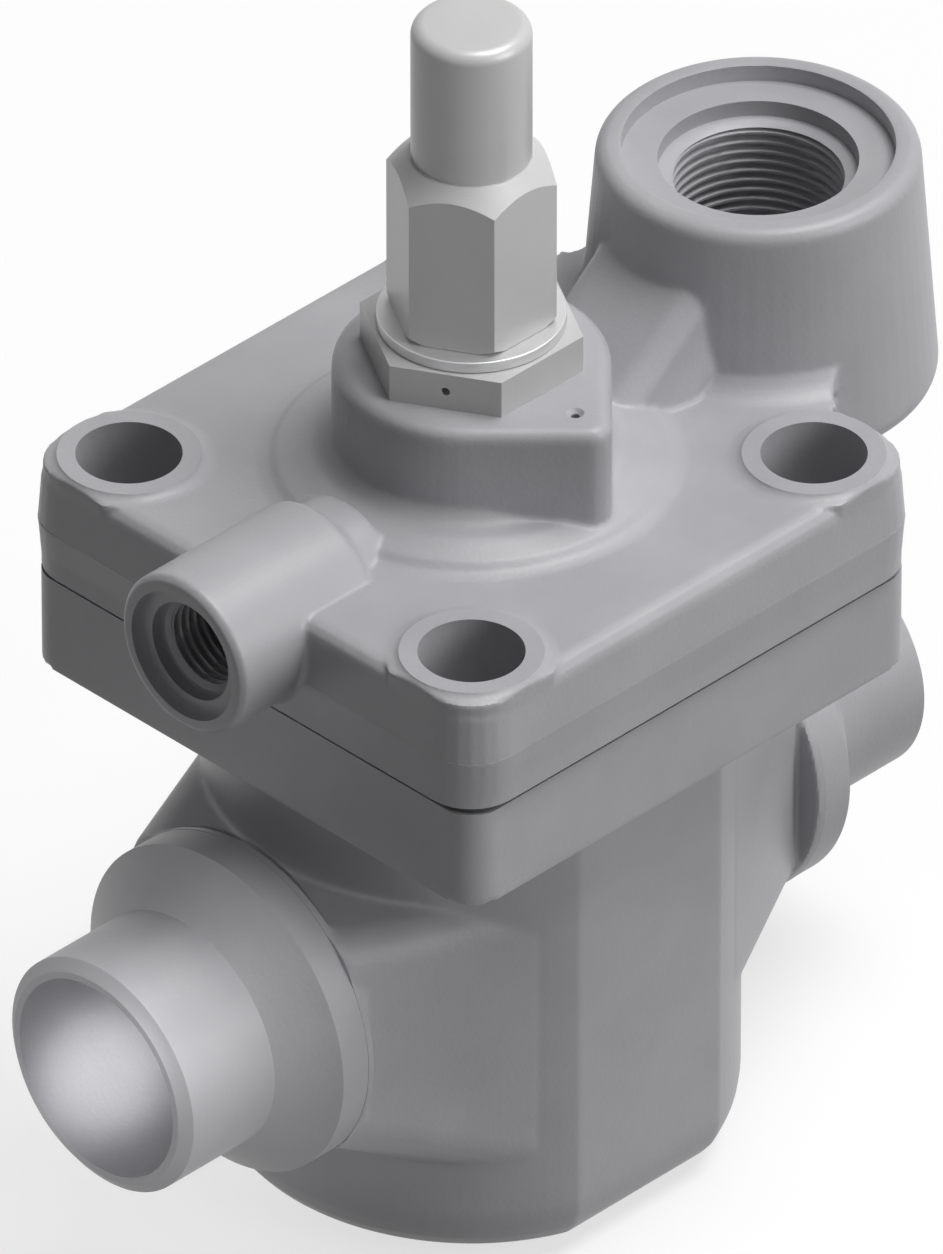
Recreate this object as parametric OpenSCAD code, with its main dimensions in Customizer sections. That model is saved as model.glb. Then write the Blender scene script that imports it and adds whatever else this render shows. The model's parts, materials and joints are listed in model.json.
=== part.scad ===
// Pilot-operated servo valve with butt-weld ends, one pilot port and a capped manual spindle.
// Origin: middle of the flat base, on the main axis. +X runs along the pipe axis to the outlet, +Z up.

/* [Weld ends] */
// Height of the pipe axis above the base
port_z = 41; // [41:0.5:43]
// Length over the two weld ends
port_span = 138; // [134:1:160]
// Outer diameter of the weld ends
pipe_od = 33.7; // [32:0.1:36]
// Wall of the weld ends
pipe_wall = 2.6; // [2.2:0.1:4]
// Length of the straight pipe stub outside its collar cone
pipe_stub = 16; // [12:0.5:20]
// Length of the weld bevel at each end
bevel_len = 1.2; // [1:0.1:2.5]
// Diameter of the collar behind the pipe stub
collar_od = 47; // [44:0.5:50]
// Length of the cylindrical band of the collar
collar_band = 5; // [3:0.1:7]
// Length of the conical shoulder of the collar
collar_cone = 6; // [4:0.1:8]

/* [Body casting] */
// Diameter of the main barrel
barrel_od = 71; // [69:0.5:74]
// Distance of the two side flats from the axis
barrel_flat = 33; // [32:0.5:35]
// Radius of the rounded base edge
base_edge_r = 9; // [5:0.5:12]
// Height of the body up to its flange face
body_h = 88.2; // [87:0.2:92]
// Width of the square body flange
flange_w = 82; // [81:0.5:86]
// Thickness of the body flange
flange_t = 14.4; // [12:0.2:17]
// Corner radius of the body flange
flange_corner_r = 4.5; // [3:0.5:7]
// Half width of the inlet neck at its collar
inlet_neck_w = 20.4; // [19.5:0.1:21]
// Half width of the outlet neck at its collar
outlet_neck_w = 18.8; // [18:0.1:21]
// Half height of both port necks at their collars
neck_half_h = 17.2; // [17:0.1:18]
// Radius of the upper corners of the necks
neck_corner_r = 5.5; // [4:0.5:7]
// Radius of the lower corners of the necks
neck_under_r = 7.3; // [5:0.1:8]
// Half width of both necks where they meet the barrel
neck_root_w = 30.3; // [28:0.1:31]
// How far the inlet neck's underside drops on the way to the barrel
inlet_neck_drop = 11.6; // [9:0.1:12.5]
// How far the outlet neck's underside drops on the way to the barrel
outlet_neck_drop = 3.2; // [2:0.1:6]

/* [Cover casting] */
// How far the square cover reaches past the body flange on each side
cover_overhang = 1; // [0.5:0.25:2]
// Thickness of the cover plate
cover_t = 16; // [15:0.2:19]
// Corner radius of the cover
cover_corner_r = 7; // [5:0.5:9]
// Height of the parting line above the cover's lower face
parting_h = 7; // [5:0.5:9]
// Radius of the rounded upper edge
cover_edge_r = 2.3; // [1.5:0.1:3]
// Draft of each side away from the parting line
cover_draft = 0.5; // [0.2:0.1:0.8]
// Distance of each bolt hole from the edges of the body flange
bolt_inset = 9.5; // [9:0.25:10]
// Diameter of the bolt holes
bolt_hole_d = 14; // [12:0.5:14.5]
// Diameter of the raised rim round each bolt hole
bolt_rim_d = 18.6; // [17.5:0.2:19]
// Height of the raised rim
bolt_rim_h = 0.9; // [0.5:0.1:1.5]
// Height of the middle boss above the plate
boss_h = 16.6; // [15:0.2:18]
// Radius of the middle boss
boss_r = 18.2; // [17:0.1:19]
// Radius of the round pad under the middle boss
pad_r = 28; // [26:0.5:29]
// Corner radius of the pointed side of the boss
boss_point_r = 3; // [2:0.5:4]

/* [Pilot port] */
// Distance of the pilot boss from the main axis
pilot_x = 53; // [52:0.5:56]
// Height of the pilot boss above the plate
pilot_h = 24.1; // [22:0.2:27]
// Radius of the pilot boss at its top face
pilot_r = 21.4; // [21:0.1:23]
// Extra radius that the draft adds at its foot
pilot_draft = 2.4; // [1:0.1:3]
// Core radius of the pilot thread, M24 x 1.5
pilot_thread_r = 11.19; // [10.5:0.01:12]
// Depth of the pilot thread
pilot_thread_len = 18; // [14:0.5:20]

/* [Gauge port] */
// Length that the gauge boss reaches out from the main axis
gauge_reach = 53; // [50:0.5:56]
// Radius of the gauge boss
gauge_r = 11.4; // [10.5:0.1:12]
// Height of the gauge port axis above the cover's lower face
gauge_h = 11; // [10.6:0.1:12]
// Core radius of the gauge thread, G 1/4
gauge_thread_r = 5.72; // [5:0.01:6]
// Depth of the gauge thread
gauge_thread_len = 12; // [9:0.5:14]

/* [Spindle and cap] */
// Across flats of the gland nut
gland_af = 26; // [25:0.1:27]
// Height of the gland nut's hexagon
gland_hex_h = 5.4; // [4:0.1:7]
// Across flats of the cap
cap_af = 19.8; // [19:0.1:21]
// Height of the cap's hexagon, to the foot of its chamfer
cap_hex_h = 21.4; // [19:0.2:23]
// Height of the cap
cap_h = 44.8; // [42:0.2:48]
// Radius of the cap's round head
cap_head_r = 7.9; // [7.2:0.1:8.2]
// Radius of the rounded top edge of the cap
cap_edge_r = 1.8; // [1:0.1:2.4]
// Radius of the spindle stem
stem_r = 4.5; // [4.2:0.1:4.7]
// Pitch of the spindle thread, M12
spindle_pitch = 1.75; // [1.25:0.25:1.75]
// Turns from backed out to the piston
spindle_turns = 4; // [3:1:4]

/* [Function module] */
// Opening stroke of the servo piston
stroke = 6; // [4:0.5:6.5]
// Radius of the servo piston's bore
piston_bore_r = 21; // [20:0.1:21.5]
// Radius of the hole in the valve seat
seat_bore_r = 12; // [11:0.1:12.5]
// Radius of the push rod
rod_r = 4; // [3.6:0.1:4.4]
// Wire diameter of the closing spring
spring_wire = 1.6; // [1.2:0.1:1.8]
// Mean radius of the closing spring
spring_r = 7; // [6.8:0.1:7.2]

/* [Fits] */
// Radial clearance of parts that slide or turn
slide_gap = 0.06; // [0.02:0.01:0.1]
// Radial clearance of parts that are only pushed in
loose_gap = 0.15; // [0.1:0.05:0.25]
// Gap between flat faces of parts that move apart
face_gap = 0.05; // [0.02:0.01:0.1]

/* [Hidden] */
$fn = 64;
eps = 0.01;
over = 1;
arc_steps = 6;
slab_h = 0.1;

// Ports
pipe_r = pipe_od / 2;
bore_r = pipe_r - pipe_wall;
pipe_end = port_span / 2;
cone_x = pipe_end - pipe_stub;
band_x = cone_x - collar_cone;
neck_x = band_x - collar_band;
bevel_land = 1;
neck_slab = 0.5;
neck_root_x = 18.5;

// Body levels and cavities
barrel_r = barrel_od / 2;
flange_z = body_h - flange_t;
bolt_pitch = flange_w - 2 * bolt_inset;
chamber_floor = 8;
lower_chamber_r = 20;
bridge_z = 29;
bridge_top = 38;
bridge_bore_r = 18;
upper_chamber_r = 22.5;
upper_chamber_x = -1.5;
land_bore_r = 26;
inlet_knee_in = 5;
outlet_knee_in = 2.5;
inlet_knee_x = neck_x - inlet_knee_in;
outlet_knee_x = neck_x - outlet_knee_in;
inlet_way_r = 11;
outlet_way_r = 11;
way_end_x = 12;
inlet_way_drop = 10;
inlet_way_z = bridge_z - inlet_way_drop;
tapped_r = 5.1;
supply_at = 32.4;
supply_r = 1.5;

// Piston and sleeve levels, downwards from the flange face
piston_h = 8;
piston_below = 0.8;
piston_z = body_h - piston_below - piston_h;
piston_top = piston_z + piston_h;
web_clear = 2.4;
web_top = piston_z - stroke - web_clear;
web_t = 9;
web_z = web_top - web_t;
land_below = 3;
land_z = web_top - land_below;
neck_into_flange = 1;
outlet_neck_rise = flange_z - port_z - neck_half_h + neck_into_flange;
outlet_way_z = land_z - outlet_way_r;

// Cover levels
cover_w = flange_w + 2 * cover_overhang;
gasket_t = 1;
gasket_inset = 0.4;
cover_z = body_h + gasket_t;
plate_z = cover_z + cover_t;
boss_z = plate_z + boss_h;
boss_sides = 48;
pilot_z = plate_z + pilot_h;
gauge_z = cover_z + gauge_h;
bolt_at = bolt_pitch / 2;
rim_foot = 1.9;
pad_h = 2.8;
pilot_chamber_r = 19;
pilot_chamber_h = 7;
thread_bore_h = 9;
thread_r = 6;
gland_shank_r = 9.9;
gland_shank_h = 11.8;
gland_seat_r = 12.6;
gland_gasket_t = 1;
seal_hole_r = 0.6;
seal_hole_d = 4;
seal_hole_y = -19;

// Pilot and gauge port steps, each a radius and a depth below the face
pilot_recess = [18, 2.4];
pilot_step = [13.2, 4.7];
pilot_thread_z = 5.4;
pilot_well_r = 8;
pilot_well_d = 5;
pilot_foot = 2;
gauge_recess = [9.2, 1.6];
gauge_step = [7, 3.4];
gauge_thread_z = 4.1;
gauge_drill_r = 2.2;

// Rib over the pilot channel
rib_half_w = 6;
rib_edge_r = 4;
rib_flare = 1.6;
rib_slope = 39;
rib_x = 29.8;
rib_z = 12.6;
channel_r = 1.8;
channel_below = 9;
channel_depth = 2;

// Module levels
sleeve_flange_r = 29;
sleeve_flange_t = 4;
land_r = land_bore_r - loose_gap / 2;
lower_land_r = bridge_bore_r - loose_gap / 2;
tube_r = 19;
tube_bore_r = 14.5;
window_sill = 6;
window_head = 4;
window_z = bridge_top + window_sill;
window_h = web_z - window_head - window_z;
window_w = 15;
seat_t = 4;
seat_r = 16;
seal_gap = 0.1;
plate_t = 2.3;
plate_r = 14.5;
plate_bore_r = 9.5;
plug_h = 4;
plug_taper = 4;
plug_gap = 0.8;
cone_top = bridge_z + plug_h;
cone_disc_t = 1.6;
cone_r = 15;
cone_z = bridge_z - seal_gap - plate_t - cone_disc_t;
rod_end_r = 3;
nut_h = 4;
nut_af = 9;
bush_r = 6;
piston_r = piston_bore_r - slide_gap;
ring_groove = 1.4;
ring_h = 2.4;
cup_r = 9;
cup_t = 1.5;
cup_boss_r = spring_r - spring_wire / 2 - 0.6;
cup_boss_h = 3;
spring_turns = 4;
spring_sides = 8;
spring_per_turn = 16;
seal_wire_r = 1.1;
seal_below = 2.6;

// Spindle and cap levels
spindle_travel = spindle_pitch * spindle_turns;
tip_z = piston_top + nut_h + spindle_travel + 0.4;
collar_z = tip_z + 2;
collar_h = 8.4;
gland_z = boss_z;
gland_foot = gland_z - gland_shank_h;
gland_top = gland_z + gland_hex_h;
nipple_r = 7.9;
nipple_h = 16;
packing_r = 7;
packing_h = 4.4;
stem_ring_z = gland_z - 3;
stem_ring_r = 0.72;
stem_groove = 1.55;
cap_gasket_t = 1.6;
cap_gasket_r = 12.4;
cap_z = gland_top + cap_gasket_t + 2 * face_gap;
cap_top = cap_z + cap_h;
cap_bore_r = nipple_r + slide_gap;
cap_well_r = 5.3;
cap_roof = 4.5;
cap_cone_r = cap_head_r + 0.4;
stem_top = cap_top - cap_roof - 7;
square_af = 6;
square_h = 8;

// Points of an arc about a centre, from one angle to the other
function arc(centre, r, from, to) =
    [for (i = [0:arc_steps]) let (a = from + (to - from) * i / arc_steps)
        centre + r * [cos(a), sin(a)]];

// Outline of a rectangle with round corners
function round_rect(hx, hy, r) = concat(
    arc([hx - r, hy - r], r, 0, 90), arc([r - hx, hy - r], r, 90, 180),
    arc([r - hx, r - hy], r, 180, 270), arc([hx - r, r - hy], r, 270, 360));

// Circumradius of a hexagon from its width across flats
function hex_r(af) = af / 2 / cos(30);

// One point of the spring's wire: turn angle, and an angle round the wire
function coil_point(turn, round, low, high, turns) =
    let (a = 360 * turn, s = spring_r + spring_wire / 2 * cos(round))
        [s * cos(a), s * sin(a), low + (high - low) * turn / turns + spring_wire / 2 * sin(round)];

module ring(outer, inner, h) {
    difference() {
        cylinder(r = outer, h = h);
        translate([0, 0, -over]) cylinder(r = inner, h = h + 2 * over);
    }
}

module hex_prism(af, h) {
    cylinder(r = hex_r(af), h = h, $fn = 6);
}

// A round section swept into a ring, for seals
module round_seal(mid_r, wire_r) {
    rotate_extrude() translate([mid_r, 0]) circle(r = wire_r, $fn = 24);
}

// A round profile turned about the pipe axis: points are radius and distance from the main axis
module about_pipe(side, points) {
    translate([0, 0, port_z]) rotate([0, side * 90, 0]) rotate_extrude() polygon(points);
}

module at_bolts() {
    for (x = [-1, 1], y = [-1, 1]) translate([x * bolt_at, y * bolt_at, 0]) children();
}

// Body casting

module barrel() {
    intersection() {
        rotate_extrude() polygon(concat([[0, 0]],
            arc([barrel_r - base_edge_r, base_edge_r], base_edge_r, -90, 0),
            [[barrel_r, flange_z + over], [0, flange_z + over]]));
        rotate([90, 0, 90]) linear_extrude(height = 2 * barrel_r + 2 * over, center = true)
            polygon(concat(
                arc([barrel_flat - base_edge_r, base_edge_r], base_edge_r, -90, 0),
                [[barrel_flat, flange_z + 2 * over], [-barrel_flat, flange_z + 2 * over]],
                arc([base_edge_r - barrel_flat, base_edge_r], base_edge_r, 180, 270)));
    }
}

module neck_section(x, half_w, low, high) {
    upper = high - neck_corner_r;
    lower = low + neck_under_r;
    translate([x, 0, port_z]) rotate([90, 0, 90])
        linear_extrude(height = neck_slab, center = true) polygon(concat(
            arc([half_w - neck_corner_r, upper], neck_corner_r, 0, 90),
            arc([neck_corner_r - half_w, upper], neck_corner_r, 90, 180),
            arc([neck_under_r - half_w, lower], neck_under_r, 180, 270),
            arc([half_w - neck_under_r, lower], neck_under_r, 270, 360)));
}

module neck(side, half_w, drop, rise) {
    hull() {
        neck_section(side * neck_x, half_w, -neck_half_h, neck_half_h);
        neck_section(side * neck_root_x, neck_root_w, -neck_half_h - drop, neck_half_h + rise);
    }
}

module weld_end(side) {
    about_pipe(side, [[0, neck_x - over], [collar_od / 2, neck_x - over],
        [collar_od / 2, band_x], [pipe_r, cone_x], [pipe_r, pipe_end - bevel_len],
        [bore_r + bevel_land, pipe_end], [0, pipe_end]]);
}

// A straight bore from the weld end to its round bottom, and a slanted way on to a chamber
module flow_way(side, knee_x, way_r, to_x, to_z) {
    run = knee_x - to_x;
    rise = to_z - port_z;
    about_pipe(side, concat(arc([0, knee_x], bore_r, -90, 0),
        [[bore_r, pipe_end + over], [0, pipe_end + over]]));
    translate([side * knee_x, 0, port_z])
        rotate([0, -side * atan2(run, rise), 0]) cylinder(r = way_r, h = norm([run, rise]));
}

module body_hollows() {
    translate([0, 0, chamber_floor])
        cylinder(r = lower_chamber_r, h = bridge_z - chamber_floor);
    translate([0, 0, bridge_z - over])
        cylinder(r = bridge_bore_r, h = bridge_top - bridge_z + 2 * over);
    translate([upper_chamber_x, 0, bridge_top])
        cylinder(r = upper_chamber_r, h = land_z - bridge_top + over);
    translate([0, 0, land_z]) cylinder(r = land_bore_r, h = body_h - land_z + over);
    translate([0, 0, body_h - sleeve_flange_t])
        cylinder(r = sleeve_flange_r + loose_gap, h = sleeve_flange_t + over);
    flow_way(-1, inlet_knee_x, inlet_way_r, way_end_x, inlet_way_z);
    flow_way(1, outlet_knee_x, outlet_way_r, way_end_x, outlet_way_z);
    at_bolts() translate([0, 0, flange_z - over]) cylinder(r = tapped_r, h = flange_t + 2 * over);
    // Supply for the pilot, from the inlet bore up through the barrel's wall
    translate([-supply_at, 0, port_z + bore_r / 2])
        cylinder(r = supply_r, h = body_h, $fn = 24);
}

module valve_body() {
    color([0.57, 0.57, 0.6]) difference() {
        union() {
            barrel();
            translate([0, 0, flange_z]) linear_extrude(height = flange_t)
                polygon(round_rect(flange_w / 2, flange_w / 2, flange_corner_r));
            neck(-1, inlet_neck_w, inlet_neck_drop, 0);
            neck(1, outlet_neck_w, outlet_neck_drop, outlet_neck_rise);
            for (side = [-1, 1]) weld_end(side);
        }
        body_hollows();
    }
}

// Cover casting

module plate_slab(inset, z) {
    half = cover_w / 2 - inset;
    translate([0, 0, z]) linear_extrude(height = slab_h)
        polygon(round_rect(half, half, cover_corner_r - inset));
}

// Drafted both ways from the parting line, with a rounded upper edge
module cover_plate() {
    hull() {
        plate_slab(cover_draft, cover_z);
        plate_slab(0, cover_z + parting_h);
        for (i = [0:arc_steps / 2]) {
            a = 180 * i / arc_steps;
            plate_slab(cover_draft + cover_edge_r * (1 - cos(a)),
                plate_z - cover_edge_r * (1 - sin(a)) - slab_h);
        }
    }
}

// What the blends may not reach past: the plate and the web to the pilot boss
module cover_outline(low, high) {
    translate([0, 0, low]) linear_extrude(height = high - low)
        polygon(round_rect(cover_w / 2 - cover_draft, cover_w / 2 - cover_draft, cover_corner_r));
}

// Side web between the plate's edge and the pilot boss, with hollow corners
web_edge = cover_w / 2 - cover_draft;
web_r = 6.5;
web_y = pilot_r + web_r;
module pilot_web(low, high) {
    translate([0, 0, low]) linear_extrude(height = high - low) polygon(concat(
        [[web_edge - 2 * web_r, web_y], [web_edge - 2 * web_r, -web_y]],
        arc([web_edge + web_r, -web_y], web_r, 180, 90),
        [[pilot_x, -web_y + web_r], [pilot_x, web_y - web_r]],
        arc([web_edge + web_r, web_y], web_r, 270, 180)));
}

module bolt_rim() {
    rim_r = bolt_rim_d / 2;
    rotate_extrude() polygon(concat([[0, plate_z - cover_edge_r], [rim_r + rim_foot,
        plate_z - cover_edge_r], [rim_r + rim_foot, plate_z]],
        [[rim_r + rim_foot * 0.4, plate_z + bolt_rim_h * 0.35], [rim_r, plate_z + bolt_rim_h],
        [0, plate_z + bolt_rim_h]]));
}

// Round pad with a hollow foot, a low shoulder and a hollow blend up to the boss
module pad() {
    foot_r = 2.6;
    neck_r = pad_h * 1.35;
    shoulder = boss_r + neck_r - 0.5;
    rotate_extrude() polygon(concat([[0, plate_z - over], [pad_r, plate_z - over]],
        [[pad_r, plate_z], [pad_r - foot_r * 0.6, plate_z + pad_h * 0.18],
        [pad_r - foot_r, plate_z + pad_h * 0.5], [shoulder + 0.7, plate_z + pad_h * 0.95]],
        arc([shoulder, plate_z + pad_h + neck_r], neck_r, -90, -180),
        [[0, plate_z + pad_h + neck_r]]));
}

// Outline of the round boss, which runs out to one point on the -Y side
function boss_outline(inset) = concat(
    [for (i = [0:boss_sides]) let (a = 270 * i / boss_sides - 45)
        (boss_r - inset) * [cos(a), sin(a)]],
    arc([0, (boss_point_r - boss_r) * sqrt(2)], boss_point_r - inset, 225, 315));

// Straight wall, then a rounded upper edge, as rings of points joined by flat faces
module middle_boss() {
    edge_r = boss_point_r * 0.55;
    levels = concat([[0, plate_z - over]], [for (i = [0:3])
        [edge_r * (1 - cos(30 * i)), boss_z - edge_r * (1 - sin(30 * i))]]);
    n = len(boss_outline(0));
    top = len(levels) - 1;
    points = [for (v = levels, q = boss_outline(v[0])) [q[0], q[1], v[1]]];
    sides = [for (i = [0:top - 1], k = [0:n - 1]) let (m = (k + 1) % n)
        [i * n + k, (i + 1) * n + k, (i + 1) * n + m, i * n + m]];
    ends = [[for (k = [0:n - 1]) k], [for (k = [n - 1:-1:0]) top * n + k]];
    polyhedron(points = points, faces = concat(sides, ends));
}

module gauge_boss() {
    run_in = 30;
    intersection() {
        translate([-gauge_reach, 0, gauge_z]) rotate([0, 90, 0]) rotate_extrude()
            polygon([[0, 0], [gauge_r - 0.8, 0], [gauge_r, 0.8], [gauge_r, run_in - 6],
                [gauge_r - 6, run_in], [0, run_in]]);
        translate([-gauge_reach - over, -gauge_r - over, cover_z + 0.2])
            cube([run_in + 2 * over, 2 * gauge_r + 2 * over, 3 * gauge_r]);
    }
}

// Turned outside of the pilot boss: drafted wall, rounded lip and foot
module pilot_boss() {
    lip_r = 2;
    foot_edge = 3;
    foot_rise = 5;
    foot_in = 7;
    foot_z = cover_z + pilot_foot;
    foot_r = pilot_r + pilot_draft;
    translate([pilot_x, 0, 0]) rotate_extrude() polygon(concat([[0, foot_z],
        [foot_r - foot_in, foot_z]], arc([foot_r - foot_edge, foot_z + foot_rise], foot_edge, -60, 0),
        arc([pilot_r - lip_r, pilot_z - lip_r], lip_r, 5, 90), [[0, pilot_z]]));
}

// Hollow blend between the plate and the pilot boss
module pilot_blend() {
    blend_r = 5.5;
    wall_r = pilot_r + pilot_draft * 0.35;
    intersection() {
        translate([pilot_x, 0, 0]) rotate_extrude() polygon(concat(
            [[0, plate_z - over], [wall_r + blend_r, plate_z - over]],
            arc([wall_r + blend_r, plate_z + blend_r], blend_r, -90, -180),
            [[0, plate_z + blend_r]]));
        union() {
            cover_outline(plate_z - 2 * over, plate_z + 2 * blend_r);
            pilot_web(plate_z - 2 * over, plate_z + 2 * blend_r);
        }
    }
}

// Sloping rib with rounded edges and flared sides, over the drilled channel
module channel_rib() {
    back = 19;
    ahead = 6;
    side = rib_half_w + rib_edge_r;
    foot = side + rib_flare;
    translate([rib_x, 0, plate_z + rib_z]) rotate([0, 90 - rib_slope, 0])
        translate([0, 0, -back]) linear_extrude(height = back + ahead) polygon(concat(
            arc([rib_edge_r, rib_half_w], rib_edge_r, 180, 90),
            [[rib_edge_r + 2, side + 0.5], [rib_edge_r + 5, foot], [rib_edge_r + 9, foot],
            [rib_edge_r + 9, -foot], [rib_edge_r + 5, -foot], [rib_edge_r + 2, -side - 0.5]],
            arc([rib_edge_r, -rib_half_w], rib_edge_r, 270, 180)));
}

module pilot_port_hollows() {
    translate([pilot_x, 0, pilot_z]) rotate([180, 0, 0]) {
        translate([0, 0, -over]) cylinder(r = pilot_recess[0], h = pilot_recess[1] + over);
        cylinder(r = pilot_step[0], h = pilot_step[1]);
        translate([0, 0, pilot_step[1]]) cylinder(r1 = pilot_step[0] - 0.8,
            r2 = pilot_thread_r, h = pilot_thread_z - pilot_step[1]);
        cylinder(r = pilot_thread_r, h = pilot_thread_z + pilot_thread_len);
        cylinder(r = pilot_well_r, h = pilot_thread_z + pilot_thread_len + pilot_well_d);
    }
}

module gauge_port_hollows() {
    translate([-gauge_reach, 0, gauge_z]) rotate([0, 90, 0]) {
        translate([0, 0, -over]) cylinder(r = gauge_recess[0], h = gauge_recess[1] + over);
        cylinder(r = gauge_step[0], h = gauge_step[1]);
        translate([0, 0, gauge_step[1]]) cylinder(r1 = gauge_step[0] - 0.5,
            r2 = gauge_thread_r, h = gauge_thread_z - gauge_step[1]);
        cylinder(r = gauge_thread_r, h = gauge_thread_z + gauge_thread_len);
        cylinder(r = gauge_drill_r, h = gauge_reach - supply_at, $fn = 24);
    }
    // Drop from the gauge drilling into the ring channel
    translate([-supply_at, 0, cover_z + over])
        cylinder(r = supply_r, h = gauge_h - over, $fn = 24);
}

module cover_channels() {
    // Slanted channel under the rib, from the pilot thread to the pilot chamber
    translate([rib_x, 0, plate_z + rib_z]) rotate([0, 90 - rib_slope, 0])
        translate([channel_below, 0, -23]) cylinder(r = channel_r, h = 39, $fn = 24);
    // Ring channel in the lower face, which carries the inlet's pressure round the module
    translate([0, 0, cover_z - over])
        ring(supply_at + supply_r, supply_at - supply_r, channel_depth + over);
    // Supply from the ring channel to the well under the pilot thread
    well_z = pilot_z - pilot_thread_z - pilot_thread_len - pilot_well_d;
    translate([supply_at, 0, cover_z - over])
        cylinder(r = supply_r, h = well_z + supply_r - cover_z + 2 * over, $fn = 24);
    translate([supply_at, 0, well_z + 2 * supply_r]) rotate([0, 90, 0])
        cylinder(r = supply_r, h = pilot_x - supply_at, $fn = 24);
}

module spindle_hollows() {
    ceiling = cover_z + pilot_chamber_h;
    translate([0, 0, cover_z - over]) cylinder(r = pilot_chamber_r, h = pilot_chamber_h + over);
    translate([0, 0, ceiling - over])
        cylinder(r = thread_r + slide_gap, h = gland_foot - ceiling + 2 * over);
    translate([0, 0, gland_foot - 1]) cylinder(r = gland_shank_r + loose_gap, h = boss_h + over);
    translate([0, 0, boss_z - gland_gasket_t]) cylinder(r = gland_seat_r, h = boss_h);
    translate([0, seal_hole_y, boss_z - seal_hole_d])
        cylinder(r = seal_hole_r, h = seal_hole_d + over, $fn = 24);
}

module top_cover() {
    color([0.6, 0.6, 0.63]) difference() {
        union() {
            cover_plate();
            intersection() {
                at_bolts() bolt_rim();
                cover_outline(cover_z, boss_z);
            }
            pad();
            middle_boss();
            gauge_boss();
            pilot_boss();
            pilot_web(cover_z + pilot_foot, plate_z - cover_edge_r);
            pilot_blend();
            channel_rib();
        }
        at_bolts() translate([0, 0, cover_z - over])
            cylinder(r = bolt_hole_d / 2, h = cover_t + bolt_rim_h + 2 * over);
        pilot_port_hollows();
        gauge_port_hollows();
        cover_channels();
        spindle_hollows();
    }
}

module cover_gasket() {
    half = flange_w / 2 - gasket_inset;
    color([0.25, 0.27, 0.26]) difference() {
        translate([0, 0, body_h]) linear_extrude(height = gasket_t)
            polygon(round_rect(half, half, flange_corner_r));
        translate([0, 0, body_h - over])
            cylinder(r = piston_bore_r + 2, h = gasket_t + 2 * over);
        at_bolts() translate([0, 0, body_h - over])
            cylinder(r = bolt_hole_d / 2 + 0.3, h = gasket_t + 2 * over);
        translate([-supply_at, 0, body_h - over])
            cylinder(r = supply_r + 0.3, h = gasket_t + 2 * over, $fn = 24);
    }
}

// Function module

module module_sleeve() {
    groove = seal_wire_r * 2;
    upper_z = (land_z + body_h - sleeve_flange_t) / 2;
    lower_z = bridge_top - seal_below;
    color([0.72, 0.73, 0.75]) difference() {
        rotate_extrude() polygon([[0, bridge_z], [lower_land_r, bridge_z],
            [lower_land_r, lower_z - groove / 2], [lower_land_r - groove, lower_z - groove / 2],
            [lower_land_r - groove, lower_z + groove / 2],
            [lower_land_r, lower_z + groove / 2], [lower_land_r, bridge_top + 1],
            [tube_r, bridge_top + 1], [tube_r, land_z + 0.4], [land_r, land_z + 0.4],
            [land_r, upper_z - groove / 2], [land_r - groove, upper_z - groove / 2],
            [land_r - groove, upper_z + groove / 2], [land_r, upper_z + groove / 2],
            [land_r, body_h - sleeve_flange_t], [sleeve_flange_r, body_h - sleeve_flange_t],
            [sleeve_flange_r, body_h], [0, body_h]]);
        translate([0, 0, bridge_z - over]) cylinder(r = seat_r + loose_gap / 2, h = seat_t + over);
        translate([0, 0, bridge_z + seat_t - eps]) cylinder(r = tube_bore_r,
            h = web_z - bridge_z - seat_t + eps);
        translate([0, 0, web_top]) cylinder(r = piston_bore_r, h = body_h - web_top + over);
        translate([0, 0, web_z - over])
            cylinder(r = bush_r + loose_gap / 2, h = web_top - web_z + 2 * over);
        for (a = [45:90:315]) rotate([0, 0, a])
            translate([0, -window_w / 2, window_z]) cube([tube_r + 3, window_w, window_h]);
        for (a = [0:90:270]) rotate([0, 0, a]) translate([11, 0, web_z - over])
            cylinder(r = 1.6, h = web_top - web_z + 2 * over, $fn = 24);
    }
}

module sleeve_ring_upper() {
    color([0.1, 0.1, 0.11]) translate([0, 0, (land_z + body_h - sleeve_flange_t) / 2])
        round_seal(land_bore_r - seal_wire_r, seal_wire_r - 0.05);
}

module sleeve_ring_lower() {
    color([0.1, 0.1, 0.11]) translate([0, 0, bridge_top - seal_below])
        round_seal(bridge_bore_r - seal_wire_r, seal_wire_r - 0.05);
}

module seat_ring() {
    color([0.78, 0.78, 0.8]) translate([0, 0, bridge_z]) difference() {
        cylinder(r = seat_r, h = seat_t);
        translate([0, 0, -over]) cylinder(r = seat_bore_r, h = seat_t + 2 * over);
        translate([0, 0, seat_t - 1.2]) cylinder(r1 = seat_bore_r, r2 = seat_bore_r + 1.5, h = 1.5);
    }
}

module rod_bush() {
    color([0.75, 0.6, 0.32]) translate([0, 0, web_z])
        ring(bush_r, rod_r + slide_gap, web_top - web_z);
}

module spring_cup() {
    color([0.7, 0.7, 0.72]) translate([0, 0, chamber_floor]) difference() {
        union() {
            cylinder(r = cup_r, h = cup_t);
            cylinder(r = cup_boss_r, h = cup_boss_h);
        }
        translate([0, 0, -over]) cylinder(r = rod_end_r, h = cup_boss_h + 2 * over);
    }
}

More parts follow.
